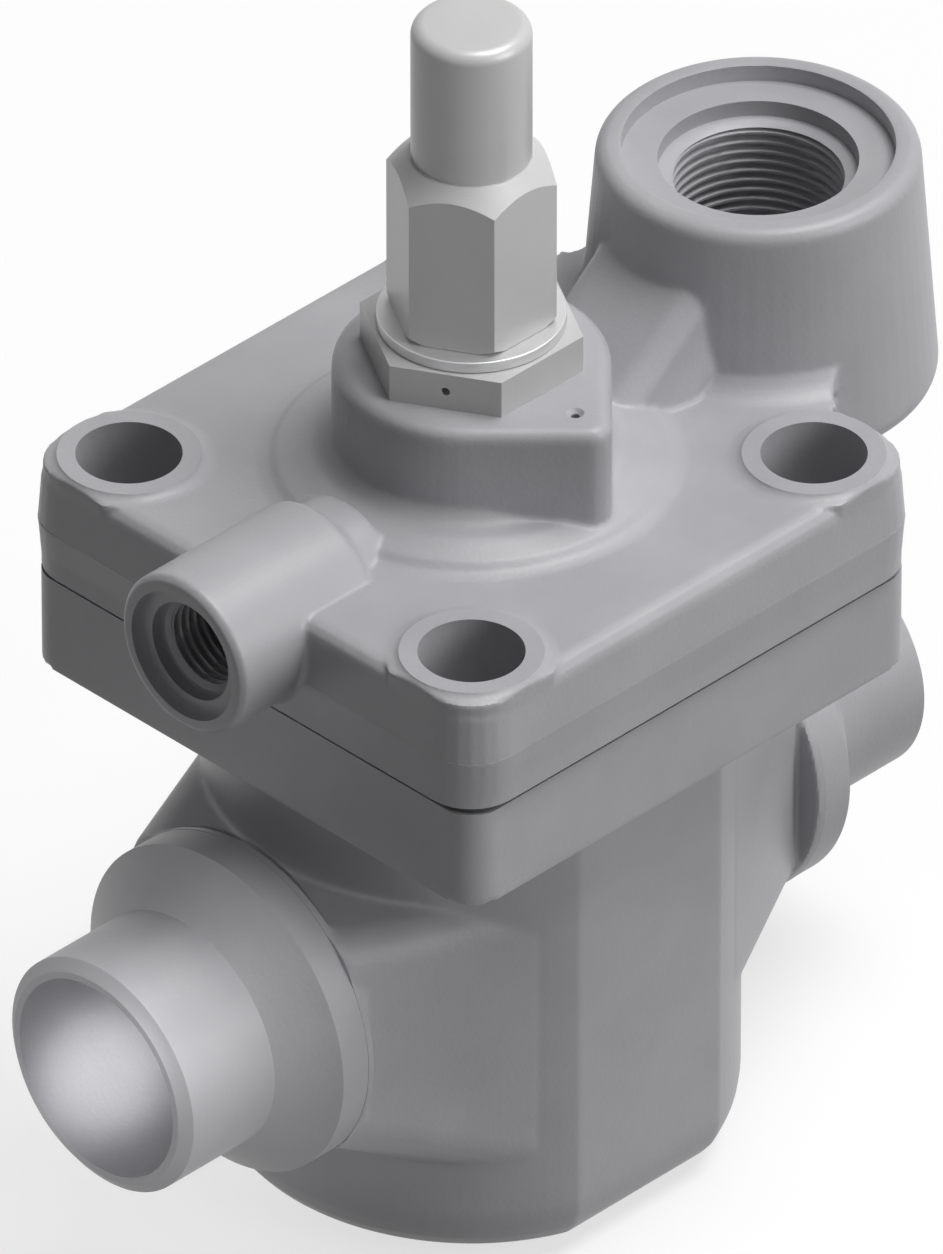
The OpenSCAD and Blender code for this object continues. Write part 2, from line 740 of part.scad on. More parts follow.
module closing_spring() {
    low = chamber_floor + cup_t + spring_wire / 2 + face_gap;
    high = cone_z - spring_wire / 2 - face_gap;
    steps = spring_turns * spring_per_turn;
    points = [for (i = [0:steps], k = [0:spring_sides - 1])
        coil_point(i / spring_per_turn, 360 * k / spring_sides, low, high, spring_turns)];
    sides = [for (i = [0:steps - 1], k = [0:spring_sides - 1])
        let (a = i * spring_sides, n = (k + 1) % spring_sides)
            [a + k, a + spring_sides + k, a + spring_sides + n, a + n]];
    ends = [[for (k = [0:spring_sides - 1]) k],
        [for (k = [spring_sides - 1:-1:0]) steps * spring_sides + k]];
    color([0.6, 0.6, 0.62]) polyhedron(points = points, faces = concat(sides, ends));
}

module throttle_cone() {
    hub_r = plate_bore_r - loose_gap;
    plug_r = seat_bore_r - plug_gap;
    color([0.74, 0.74, 0.76]) difference() {
        rotate_extrude() polygon([[0, cone_z], [cone_r, cone_z], [cone_r, cone_z + cone_disc_t],
            [hub_r, cone_z + cone_disc_t], [hub_r, bridge_z - seal_gap],
            [plug_r, bridge_z + 0.4], [plug_r - plug_taper, cone_top], [0, cone_top]]);
        translate([0, 0, cone_z - over])
            cylinder(r = rod_end_r + loose_gap / 2, h = cone_top - cone_z + 2 * over);
    }
}

module valve_plate() {
    color([0.9, 0.9, 0.88]) translate([0, 0, cone_z + cone_disc_t])
        ring(plate_r, plate_bore_r, plate_t);
}

module cone_nut() {
    color([0.7, 0.7, 0.72]) translate([0, 0, cone_z - nut_h]) difference() {
        hex_prism(nut_af, nut_h);
        translate([0, 0, -over]) cylinder(r = rod_end_r + loose_gap / 2, h = nut_h + 2 * over);
    }
}

module push_rod() {
    color([0.76, 0.76, 0.78]) rotate_extrude() polygon([[0, cone_z - nut_h],
        [rod_end_r, cone_z - nut_h], [rod_end_r, cone_top], [rod_r, cone_top],
        [rod_r, piston_z], [rod_end_r, piston_z], [rod_end_r, piston_top + nut_h],
        [0, piston_top + nut_h]]);
}

module servo_piston() {
    ring_z = piston_z + piston_h / 2;
    groove_r = piston_r - ring_groove;
    color([0.74, 0.74, 0.76]) difference() {
        rotate_extrude() polygon([[0, piston_z], [piston_r - 0.6, piston_z],
            [piston_r, piston_z + 0.6], [piston_r, ring_z - ring_h / 2],
            [groove_r, ring_z - ring_h / 2], [groove_r, ring_z + ring_h / 2],
            [piston_r, ring_z + ring_h / 2], [piston_r, piston_top - 0.6],
            [piston_r - 0.6, piston_top], [0, piston_top]]);
        translate([0, 0, piston_z - over])
            cylinder(r = rod_end_r + loose_gap / 2, h = piston_h + 2 * over);
    }
}

module piston_ring() {
    color([0.85, 0.85, 0.83]) translate([0, 0, piston_z + piston_h / 2 - ring_h / 2 + 0.05])
        ring(piston_bore_r - slide_gap / 2, piston_r - ring_groove + 0.1, ring_h - 0.1);
}

module piston_nut() {
    color([0.7, 0.7, 0.72]) translate([0, 0, piston_top]) difference() {
        hex_prism(nut_af, nut_h);
        translate([0, 0, -over]) cylinder(r = rod_end_r + loose_gap / 2, h = nut_h + 2 * over);
    }
}

// Manual spindle, gland and cap

module manual_spindle() {
    groove_z = stem_ring_z;
    half = stem_ring_r + 0.1;
    color([0.76, 0.76, 0.78]) union() {
        rotate_extrude() polygon([[0, tip_z], [stem_r - 1, tip_z], [stem_r, tip_z + 1],
            [stem_r, collar_z], [thread_r, collar_z], [thread_r, collar_z + collar_h],
            [stem_r, collar_z + collar_h], [stem_r, groove_z - half],
            [stem_r - stem_groove, groove_z - half], [stem_r - stem_groove, groove_z + half],
            [stem_r, groove_z + half], [stem_r, stem_top - square_h], [0, stem_top - square_h]]);
        intersection() {
            translate([0, 0, stem_top - square_h - over])
                cylinder(r = stem_r - 0.2, h = square_h + over);
            translate([-square_af / 2, -square_af / 2, stem_top - square_h - over])
                cube([square_af, square_af, square_h + over]);
        }
    }
}

module spindle_ring() {
    color([0.1, 0.1, 0.11]) translate([0, 0, stem_ring_z])
        round_seal(stem_r - stem_ring_r - 0.02, stem_ring_r);
}

module packing_ring() {
    color([0.3, 0.3, 0.31]) translate([0, 0, gland_foot])
        ring(packing_r, stem_r + slide_gap, packing_h);
}

module gland_nut() {
    color([0.7, 0.7, 0.71]) difference() {
        union() {
            translate([0, 0, gland_foot]) cylinder(r = gland_shank_r, h = gland_shank_h + eps);
            translate([0, 0, gland_z]) hex_prism(gland_af, gland_hex_h);
            translate([0, 0, gland_top - eps]) cylinder(r = nipple_r, h = nipple_h);
        }
        translate([0, 0, gland_foot - over])
            cylinder(r = stem_r + slide_gap, h = gland_shank_h + gland_hex_h + nipple_h + 3);
        translate([0, 0, gland_foot - over])
            cylinder(r = packing_r + loose_gap / 2, h = packing_h + over);
        rotate([0, 0, 210]) translate([gland_af / 2 - 3, 0, gland_z + gland_hex_h / 2])
            rotate([0, 90, 0]) cylinder(r = seal_hole_r, h = 4, $fn = 24);
    }
}

module gland_gasket() {
    color([0.55, 0.42, 0.3]) translate([0, 0, boss_z - gland_gasket_t])
        ring(gland_seat_r - loose_gap, gland_shank_r + loose_gap, gland_gasket_t);
}

module cap_gasket() {
    color([0.82, 0.82, 0.82]) translate([0, 0, gland_top + face_gap])
        ring(cap_gasket_r, nipple_r + loose_gap * 2, cap_gasket_t);
}

module spindle_cap() {
    corner_r = hex_r(cap_af);
    hex_top = cap_z + cap_hex_h;
    cone_h = corner_r - cap_cone_r;
    color([0.76, 0.76, 0.76]) difference() {
        union() {
            intersection() {
                translate([0, 0, cap_z]) hex_prism(cap_af, cap_hex_h + cone_h);
                rotate_extrude() polygon([[0, cap_z], [corner_r - 0.9, cap_z],
                    [corner_r + 0.1, cap_z + 0.9], [corner_r + 0.1, hex_top - 0.1],
                    [cap_cone_r, hex_top + cone_h], [0, hex_top + cone_h]]);
            }
            rotate_extrude() polygon(concat([[0, hex_top], [cap_head_r, hex_top]],
                arc([cap_head_r - cap_edge_r, cap_top - cap_edge_r], cap_edge_r, 0, 90),
                [[0, cap_top]]));
        }
        translate([0, 0, cap_z - over]) cylinder(r = cap_bore_r, h = nipple_h + over);
        translate([0, 0, cap_z]) cylinder(r = cap_well_r, h = cap_h - cap_roof);
    }
}

valve_body();
top_cover();
cover_gasket();
module_sleeve();
sleeve_ring_upper();
sleeve_ring_lower();
seat_ring();
rod_bush();
spring_cup();
closing_spring();
throttle_cone();
valve_plate();
cone_nut();
push_rod();
servo_piston();
piston_ring();
piston_nut();
manual_spindle();
spindle_ring();
packing_ring();
gland_nut();
gland_gasket();
cap_gasket();
spindle_cap();
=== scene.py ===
# %% [markdown]
# # A pilot-operated servo valve
#
# The real valve is a small steel casting for a refrigeration plant. It has two ends
# that are welded into a pipe, and a square cover with a tall boss for a pilot valve.
# A hexagon cap in the middle hides the manual spindle. The exact solids come from the
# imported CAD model. This lesson gives them the skin and the finishes of the real part.

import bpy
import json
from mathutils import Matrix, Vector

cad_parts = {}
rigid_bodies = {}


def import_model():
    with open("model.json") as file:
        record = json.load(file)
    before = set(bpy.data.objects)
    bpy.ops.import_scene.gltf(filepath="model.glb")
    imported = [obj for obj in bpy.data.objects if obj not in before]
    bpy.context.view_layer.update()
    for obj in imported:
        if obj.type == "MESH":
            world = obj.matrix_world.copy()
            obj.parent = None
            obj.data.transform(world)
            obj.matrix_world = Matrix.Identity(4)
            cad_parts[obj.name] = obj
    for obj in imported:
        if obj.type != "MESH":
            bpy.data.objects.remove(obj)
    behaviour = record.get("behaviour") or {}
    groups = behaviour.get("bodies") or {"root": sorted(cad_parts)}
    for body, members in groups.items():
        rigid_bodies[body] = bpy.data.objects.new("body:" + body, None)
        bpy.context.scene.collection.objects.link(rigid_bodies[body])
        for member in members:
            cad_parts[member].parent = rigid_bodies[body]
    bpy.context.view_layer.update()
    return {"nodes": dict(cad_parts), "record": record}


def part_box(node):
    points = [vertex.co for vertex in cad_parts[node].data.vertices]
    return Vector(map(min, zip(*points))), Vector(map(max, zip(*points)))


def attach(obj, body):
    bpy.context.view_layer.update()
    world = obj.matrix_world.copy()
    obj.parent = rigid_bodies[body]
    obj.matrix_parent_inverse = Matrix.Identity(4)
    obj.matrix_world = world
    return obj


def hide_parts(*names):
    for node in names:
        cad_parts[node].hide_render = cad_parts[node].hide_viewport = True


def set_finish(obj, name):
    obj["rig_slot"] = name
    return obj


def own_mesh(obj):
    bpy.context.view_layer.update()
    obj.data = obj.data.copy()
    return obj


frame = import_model()

import json
import math

import bmesh
import bpy
from mathutils import Matrix, Vector

# %% [markdown]
# ## Sizes
#
# Blender works in metres and the drawing of a valve in millimetres. One factor, mm,
# keeps the numbers readable. The levels are read from the CAD nodes where a node has
# the level as its own top or bottom, so that the dressed parts always meet.

# %% Name the levels of the valve
mm = 0.001
body_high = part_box("valve_body")[1]
cover_low, cover_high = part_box("top_cover")
nut_low, nut_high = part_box("gland_nut")
cap_low, cap_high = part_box("spindle_cap")

pipe_end = body_high.x / mm
body_top = body_high.z / mm
cover_base = cover_low.z / mm
pilot_top = cover_high.z / mm
gauge_end = cover_low.x / mm
cap_base, cap_top = cap_low.z / mm, cap_high.z / mm

# The pipe bore and the weld end, seen from the main axis outwards.
pipe_axis = 41.0
pipe_r = 16.85
bore_r = 14.25
collar_r = 23.5
cone_x = pipe_end - 16.0
band_x = cone_x - 6.0
neck_x = band_x - 5.0

# The cover's levels and the places of its ports, bolts and supply drilling.
plate_top = cover_base + 16.0
boss_top = plate_top + 16.6
pilot_x = 53.0
gauge_axis = cover_base + 11.0
bolt_at = 31.5
supply_at = 32.4
corners = [(x, y) for x in (-bolt_at, bolt_at) for y in (-bolt_at, bolt_at)]
print("pipe end", round(pipe_end, 2), "cover", round(cover_base, 2), "cap top", round(cap_top, 2))

# %% [markdown]
# ## Turned shapes
#
# Nearly every machined surface of a valve is turned or drilled. A cylinder primitive
# would do for a plain hole, but most holes have steps and chamfers. A half outline that
# spins round an axis makes all of them, just as a lathe does, so one helper turns an
# outline and a second one uses it for plain drills.

# %% A turned shape
def piece_from(bm, name):
    """Turns a finished bmesh into an object of the scene."""
    mesh = bpy.data.meshes.new(name)
    bm.to_mesh(mesh)
    bm.free()
    piece = bpy.data.objects.new(name, mesh)
    bpy.context.scene.collection.objects.link(piece)
    return piece


def turned(name, outline, steps=96):
    """Spins a half outline of (radius, height) points, in mm, about the Z axis."""
    bm = bmesh.new()
    ring = [bm.verts.new((r * mm, 0, z * mm)) for r, z in outline]
    for a, b in zip(ring, ring[1:]):
        bm.edges.new((a, b))
    if outline[0][0] > 0:
        bm.edges.new((ring[-1], ring[0]))
    bmesh.ops.spin(bm, geom=bm.verts[:] + bm.edges[:], cent=(0, 0, 0), axis=(0, 0, 1),
                   angle=math.tau, steps=steps, use_merge=True)
    bmesh.ops.remove_doubles(bm, verts=bm.verts[:], dist=1e-6)
    bmesh.ops.dissolve_degenerate(bm, edges=bm.edges[:], dist=1e-7)
    bmesh.ops.recalc_face_normals(bm, faces=bm.faces[:])
    return piece_from(bm, name)


def arc(r, z, radius, start, end, steps=8):
    """Points of an arc for an outline, with its centre at (r, z) and angles in degrees."""
    turns = [math.radians(start + (end - start) * i / steps) for i in range(steps + 1)]
    return [(r + radius * math.cos(t), z + radius * math.sin(t)) for t in turns]


def drill(radius, low, high, steps=64):
    """An upright round bar on the main axis, in mm."""
    return turned("drill", [(0, low), (radius, low), (radius, high), (0, high)], steps)


print("turning helpers ready")

# %% [markdown]
# ## Placing and cutting
#
# A finished piece must stand at the origin, unturned, with its place in its mesh. So a
# tool is moved by a matrix on its mesh, and the object itself never moves. Cutting is
# done with the Boolean modifier, applied at once. Its manifold solver is fast and exact
# on closed meshes. A cut face takes its tool's material, and that is how drilled faces
# become bare metal on a cast part.

# %% Placing and cutting
def placed(piece, *moves):
    """Applies matrices to the mesh itself, so that the object stays at the origin."""
    for move in moves:
        piece.data.transform(move)
    return piece


def shift(x, y, z):
    """A move in mm."""
    return Matrix.Translation((x * mm, y * mm, z * mm))


def turn(degrees, axis):
    """A turn about one of the three axes."""
    return Matrix.Rotation(math.radians(degrees), 4, axis)


def apply_modifiers(piece):
    """Makes the result of a piece's modifiers its mesh."""
    graph = bpy.context.evaluated_depsgraph_get()
    made = bpy.data.meshes.new_from_object(piece.evaluated_get(graph), depsgraph=graph)
    old = piece.data
    piece.modifiers.clear()
    piece.data = made
    bpy.data.meshes.remove(old)


def combine(piece, tool, how):
    """Joins or cuts a piece with a tool, and uses the tool up."""
    cut = piece.modifiers.new(how, "BOOLEAN")
    cut.operation = how
    cut.solver = "MANIFOLD"
    cut.object = tool
    apply_modifiers(piece)
    bpy.data.objects.remove(tool)


def machined(tool):
    """The faces that this tool leaves get the second material, which is bare metal."""
    tool.data.materials.append(None)
    tool.data.materials.append(None)
    for face in tool.data.polygons:
        face.material_index = 1
    return tool


def cut_away(piece, *tools):
    """Cuts one tool after another out of a piece."""
    for tool in tools:
        combine(piece, machined(tool), "DIFFERENCE")


print("cutting helpers ready")

# %% [markdown]
# ## Screw threads
#
# The pilot port, the gauge port and the bolt holes are tapped. A thread could be a
# picture on a plain hole, but its ridges catch the light. Here a threaded rod is made
# once from a grid of rings, and each ring's radius follows the pitch as it goes round.
# Cut out of a casting it leaves a real internal thread.

# %% A threaded rod
rows_per_turn = 6
plain_end = 0.3
ridge_reach, flank_slope = 1.6, 4.0


def threaded_rod(core, crest, pitch, low, high, steps=64):
    """A rod with a thread between its core and crest radius, and plain ends.

    Over one pitch the height of the ridge runs from 0 at the core to 1 at the crest. It
    is ridge_reach less flank_slope times the distance from the middle, kept within 0
    and 1, which leaves a flat root, two flanks and a flat crest.
    """
    rows = int((high - low) / pitch * rows_per_turn)
    bm = bmesh.new()
    bmesh.ops.create_cone(bm, cap_ends=True, cap_tris=False, segments=steps,
                          radius1=core * mm, radius2=core * mm, depth=(high - low) * mm)
    bmesh.ops.translate(bm, verts=bm.verts[:], vec=(0, 0, (low + high) / 2 * mm))
    upright = [e for e in bm.edges if abs(e.verts[0].co.z - e.verts[1].co.z) > 1e-6]
    bmesh.ops.subdivide_edges(bm, edges=upright, cuts=rows - 1, use_grid_fill=True)
    for vert in bm.verts:
        z = vert.co.z / mm
        if low + plain_end < z < high - plain_end:
            lap = math.atan2(vert.co.y, vert.co.x) / math.tau
            phase = (z / pitch - lap) % 1.0
            ridge = min(1.0, max(0.0, ridge_reach - abs(phase - 0.5) * flank_slope))
            radius = (core + (crest - core) * ridge) * mm
            scale = radius / vert.co.xy.length
            vert.co.x *= scale
            vert.co.y *= scale
    bmesh.ops.recalc_face_normals(bm, faces=bm.faces[:])
    return piece_from(bm, "thread")


print("thread helper ready")

# %% [markdown]
# ## The skin of a casting
#
# Metal that is poured into sand has no sharp inner corner: every wall flows into the
# next one. Bevels can't reach such corners where many shapes cross. A voxel remesh
# can: it melts the crossing shapes into one even skin, and smoothing then rounds every
# corner a little. The holes are filled before that, with plugs, and drilled again
# after it, because machined edges must stay crisp on the rounded skin. In between, a
# Decimate modifier thins the mesh out where it is flat, and leaves it fine on curves.

# %% Cast a skin from a CAD node
def casting(name, node, plugs, voxel, rounds, keep):
    """One skin over a CAD node and its plugs: voxel in mm, rounds of smoothing, and the
    share of the faces that is kept."""
    bm = bmesh.new()
    bm.from_mesh(frame["nodes"][node].data)
    for plug in plugs:
        bm.from_mesh(plug.data)
        bpy.data.objects.remove(plug)
    bmesh.ops.remove_doubles(bm, verts=bm.verts[:], dist=1e-6)
    piece = piece_from(bm, name)
    skin = piece.modifiers.new("skin", "REMESH")
    skin.mode = "VOXEL"
    skin.voxel_size = voxel * mm
    soften = piece.modifiers.new("soften", "SMOOTH")
    soften.factor = 0.5
    soften.iterations = rounds
    thin = piece.modifiers.new("thin out", "DECIMATE")
    thin.ratio = keep
    apply_modifiers(piece)
    print(name, "skin:", len(piece.data.polygons), "faces")
    return piece


def finished(piece, body, slot, *nodes):
    """Smooth faces with sharp machined edges, riding on its body in place of CAD nodes."""
    piece.data.shade_smooth()
    piece.data.set_sharp_from_angle(angle=math.radians(32))
    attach(piece, body)
    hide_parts(*nodes)
    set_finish(piece, slot)
    return piece


print("casting helpers ready")

# %% [markdown]
# ## The body casting
#
# The body is a barrel with a square flange, and a neck and a weld end on either side.
# Its plugs are simple shapes: one thick rod fills all chambers, another fills the pipe
# bores, a square slab stands above the flange, and turned stock makes each weld end a
# little too big. They are cut back after the smoothing, as a foundry leaves stock for
# the lathe, so the faces that were machined come out crisp.

# %% Fill the holes of the body
def block(name, x, y, low, high, corner):
    """An upright block with round corners, centred on the axis: half sizes x and y."""
    bm = bmesh.new()
    bmesh.ops.create_cube(bm, size=1.0)
    bmesh.ops.scale(bm, verts=bm.verts[:], vec=(2 * x * mm, 2 * y * mm, (high - low) * mm))
    bmesh.ops.translate(bm, verts=bm.verts[:], vec=(0, 0, (low + high) / 2 * mm))
    if corner:
        upright = [e for e in bm.edges if abs(e.verts[0].co.z - e.verts[1].co.z) > 1e-6]
        bmesh.ops.bevel(bm, geom=upright, offset=corner * mm, offset_type="OFFSET",
                        affect="EDGES", segments=8, profile=0.5, material=-1)
    return piece_from(bm, name)


def on_pipe_axis(tool, side=1):
    """Lays an upright tool along the pipe, towards +X for side 1 and -X for side -1."""
    return placed(tool, turn(side * 90, "Y"), shift(0, 0, pipe_axis))


stock_r = 0.8
body_plugs = [
    drill(29.6, 6.5, 87),
    block("slab", 41, 41, 76, body_top + 3, 4.5),
    on_pipe_axis(drill(pipe_r - 0.3, -pipe_end + 0.5, pipe_end - 0.5)),
]
for side in (-1, 1):
    stock = turned("stock", [(0, neck_x), (collar_r, neck_x), (collar_r, neck_x + 0.7),
                             (collar_r + stock_r, neck_x + 1.4),
                             (collar_r + stock_r, band_x + 0.4),
                             (pipe_r + stock_r, cone_x + 0.4),
                             (pipe_r + stock_r, pipe_end + 3), (0, pipe_end + 3)])
    body_plugs.append(on_pipe_axis(stock, side))
body = casting("body_casting", "valve_body", body_plugs, 0.45, 3, 0.45)

# %% [markdown]
# ## The weld ends
#
# A pipe is welded on end to end, so the stub has the pipe's own diameter and a bevel
# that makes room for the weld. Behind it a cone and a collar lead over to the neck. A
# lathe turns all of them in one go, and here one tool is the waste that the lathe takes
# off. Cutting it keeps the edges sharp that the smoothing would have rounded.

# %% Turn the weld ends
def weld_end(side):
    """What the lathe takes off outside the pipe stub, the cone and the collar."""
    tool = turned("lathe", [(collar_r + 5, neck_x + 0.4), (collar_r, neck_x + 0.4),
                            (collar_r, band_x), (pipe_r, cone_x), (pipe_r, pipe_end + 6),
                            (collar_r + 5, pipe_end + 6)], 128)
    return on_pipe_axis(tool, side)


def weld_bevel(side):
    """What is turned off a weld end: the face, and a bevel that leaves a small land."""
    edge = pipe_end - 1.65
    tool = turned("bevel", [(0, pipe_end), (bore_r + 1.0, pipe_end), (pipe_r + 0.6, edge),
                            (24, edge), (24, pipe_end + 6), (0, pipe_end + 6)])
    return on_pipe_axis(tool, side)


for side in (-1, 1):
    combine(body, weld_end(side), "DIFFERENCE")
cut_away(body, block("facing", 50, 50, body_top, body_top + 8, 0))
cut_away(body, weld_bevel(1), weld_bevel(-1))
print("weld ends turned:", len(body.data.polygons), "faces")

# %% [markdown]
# ## The ways of the gas
#
# Each pipe bore ends in a round bottom, and from there a slanted way leads on: on the
# left down to the chamber under the seat, on the right up to the chamber over it. The
# chambers are bored from above, one step after the other, and a thin drilling brings
# the inlet's pressure up to the cover. Nobody sees most of this, but the valve is
# hollow and so is its mesh.

# %% Bore the body
def flow_bore(side, knee):
    """The straight pipe bore with its round bottom."""
    outline = arc(0, knee, bore_r, -90, 0) + [(bore_r, pipe_end + 2), (0, pipe_end + 2)]
    return on_pipe_axis(turned("bore", outline), side)


def flow_way(side, knee, radius, x, z):
    """The slanted way from the bottom of the bore to a chamber."""
    run, rise = knee - x, z - pipe_axis
    tool = drill(radius, 0, math.hypot(run, rise))
    tilt = -side * math.degrees(math.atan2(run, rise))
    return placed(tool, turn(tilt, "Y"), shift(side * knee, 0, pipe_axis))


inlet_knee, outlet_knee = neck_x - 5.0, neck_x - 2.5
way_r, way_end = 11, 12
cut_away(body, flow_bore(-1, inlet_knee), flow_bore(1, outlet_knee),
         flow_way(-1, inlet_knee, way_r, way_end, 19),
         flow_way(1, outlet_knee, way_r, way_end, 57))
over_top = body_top + 2
spring_chamber = drill(20, 8, 29)
seat_bore = drill(18, 28.9, 38.1)
outlet_chamber = placed(drill(22.5, 38, 68.1), shift(-1.5, 0, 0))
sleeve_bore = drill(26, 68, over_top)
collar_step = drill(29.15, 84.2, over_top)
supply_hole = placed(drill(1.5, 48, over_top, 24), shift(-supply_at, 0, 0))
cut_away(body, spring_chamber, seat_bore, outlet_chamber, sleeve_bore, collar_step,
         supply_hole)
print("bored:", len(body.data.polygons), "faces")

# %% Tap the bolt holes
for x, y in corners:
    cut_away(body, placed(threaded_rod(5.1, 5.95, 1.75, 70, over_top, 40), shift(x, y, 0)))
print("body:", len(body.data.polygons), "faces")

# %% [markdown]
# ## The cover casting
#
# The cover carries everything that the photo shows best: the round pad, the pointed
# boss, the pilot boss and the gauge boss. It is cast in the same way, with smaller
# voxels, because its rims and ribs are finer.

# %% Fill the holes of the cover
to_gauge = (turn(90, "Y"), shift(gauge_end, 0, gauge_axis))
cover_plugs = [
    drill(19.5, cover_base + 0.5, 100),
    drill(14.0, 95, boss_top - 0.2),
    block("slab", 41.7, 41.7, cover_base - 3, cover_base + 5, 7),
    placed(drill(17.6, 94, pilot_top - 0.25), shift(pilot_x, 0, 0)),
    placed(drill(18.6, pilot_top - 4, pilot_top - 0.25), shift(pilot_x, 0, 0)),
    placed(drill(9.6, 0.05, 30), *to_gauge),
]
for x, y in corners:
    cover_plugs.append(placed(drill(7.5, cover_base, plate_top + 0.85), shift(x, y, 0)))
    cover_plugs.append(placed(drill(9.3, plate_top - 3, plate_top + 1.9), shift(x, y, 0)))
cover = casting("cover_casting", "top_cover", cover_plugs, 0.36, 3, 0.32)

# %% [markdown]
# ## The ports
#
# The pilot valve and the gauge each screw into a stepped port: a wide recess for the
# seal, a step, the thread, and a plain end behind it. All steps are one turned tool.
# The thread is cut after that, with a rod whose core is a trace thinner than the hole,
# so that only its ridges bite. First of all the face on the body is cut flat, and a
# thin seam is put round the plate, where the two halves of the mould met.

# %% Machine the ports
def pilot_steps():
    """The recess for the pilot's seal, the step, the chamfer and the drilled well."""
    top = pilot_top
    return turned("port", [(0, top - 28.4), (8, top - 28.4), (8, top - 23.4),
                           (11.19, top - 23.4), (11.19, top - 5.4), (12.4, top - 4.7),
                           (13.2, top - 4.7), (13.2, top - 2.4), (18, top - 2.4),
                           (18, top + 2), (0, top + 2)])


def gauge_steps():
    """The same for the gauge, from the boss's face inwards."""
    return turned("port", [(0, -2), (9.2, -2), (9.2, 1.6), (7, 1.6), (7, 3.4), (6.5, 3.4),
                           (5.72, 4.1), (5.72, 16.1), (2.2, 17.8), (2.2, 20.6), (0, 20.6)])


cut_away(cover, block("facing", 50, 50, cover_base - 8, cover_base, 0))
seam = block("seam", 42, 42, cover_base + 6.75, cover_base + 7.25, 7)
combine(cover, seam, "UNION")
cut_away(cover, placed(pilot_steps(), shift(pilot_x, 0, 0)),
         placed(threaded_rod(11.1, 12.0, 1.5, pilot_top - 23.2, pilot_top - 5.0, 96),
                shift(pilot_x, 0, 0)),
         placed(gauge_steps(), *to_gauge),
         placed(threaded_rod(5.65, 6.5, 1.337, 3.6, 16.0, 64), *to_gauge))
print("ports cut:", len(cover.data.polygons), "faces")

# %% [markdown]
# ## The other holes of the cover
#
# The bolt holes have a raised rim that is faced flat for the bolt's head. The middle
# boss is bored for the gland nut and the spindle, with a thin hole in its point for a
# sealing wire. On the lower face a ring channel carries the inlet's pressure round from
# the body's drilling to the pilot port and the gauge port.

# %% Drill the cover
for x, y in corners:
    cut_away(cover, placed(drill(10.2, plate_top + 0.9, plate_top + 4), shift(x, y, 0)),
             placed(drill(7, cover_base - 3, plate_top + 4, 80), shift(x, y, 0)))
over_boss = boss_top + 2
piston_room = drill(19, cover_base - 2, cover_base + 7)
spindle_bore = drill(6.06, 95, 120)
gland_bore = drill(10.05, boss_top - 12.8, over_boss)
gland_seat = drill(12.6, boss_top - 1, over_boss)
seal_hole = placed(turned("seal_hole", [(0, boss_top - 4), (0.6, boss_top - 4),
                                        (0.6, boss_top - 0.6), (1.3, boss_top + 0.1),
                                        (1.3, over_boss), (0, over_boss)], 24),
                   shift(0, -19, 0))
inner, outer = supply_at - 1.5, supply_at + 1.5
ring_channel = turned("ring_channel", [(inner, cover_base - 1), (outer, cover_base - 1),
                                       (outer, cover_base + 2), (inner, cover_base + 2)])
pilot_supply = placed(drill(1.5, cover_base - 2, 102.4, 24), shift(supply_at, 0, 0))
gauge_supply = placed(drill(1.5, cover_base - 1, gauge_axis, 24), shift(-supply_at, 0, 0))
cut_away(cover, piston_room, spindle_bore, gland_bore, gland_seat, seal_hole, ring_channel,
         pilot_supply, gauge_supply)
print("cover:", len(cover.data.polygons), "faces")

# %% [markdown]
# ## The cap
#
# The cap is turned from hexagon bar. Its flats run up into a cone, so the cone cuts
# each flat in a curve. That curve comes by itself when a hexagon and a turned outline
# are intersected, as the lathe does it. A small Bevel modifier breaks all the edges.

# %% Turn the cap from hexagon bar
def hexagon(name, across, low, high):
    """A piece of hexagon bar, in mm across its flats, with two flats facing along Y."""
    bm = bmesh.new()
    corner = across / math.sqrt(3) * mm
    bmesh.ops.create_cone(bm, cap_ends=True, cap_tris=False, segments=6, radius1=corner,
                          radius2=corner, depth=(high - low) * mm)
    bmesh.ops.translate(bm, verts=bm.verts[:], vec=(0, 0, (low + high) / 2 * mm))
    return placed(piece_from(bm, name), turn(90, "Z"))


cap_af = (cap_high.y - cap_low.y) / mm
cap_corner = cap_af / math.sqrt(3)
hex_top = cap_base + 21.4
neck_r, head_r, head_round = 8.3, 7.9, 1.8
cone_high = cap_corner - neck_r
cap = hexagon("cap_piece", cap_af, cap_base, hex_top + cone_high)
combine(cap, turned("shape", [(0, cap_base), (cap_corner - 0.9, cap_base),
                              (cap_corner + 0.1, cap_base + 0.9),
                              (cap_corner + 0.1, hex_top - 0.1), (neck_r, hex_top + cone_high),
                              (0, hex_top + cone_high)], 128), "INTERSECT")
rounded = arc(6.1, cap_top - head_round, head_round, 0, 90)
combine(cap, turned("head", [(0, hex_top), (head_r, hex_top)] + rounded + [(0, cap_top)], 128),
        "UNION")
thread_hole = drill(7.96, cap_base - 1, cap_base + 16)
spindle_room = drill(5.3, cap_base, cap_top - 4.5)
cut_away(cap, thread_hole, spindle_room)
print("cap:", len(cap.data.polygons), "faces")

# %% [markdown]
# ## The gland nut
#
# The gland nut closes the spindle's packing. Below its hexagon a shank goes into the
# cover, and above it a threaded nipple carries the cap. The nipple shows only when the
# cap is screwed off, and then its thread is what the eye looks for.

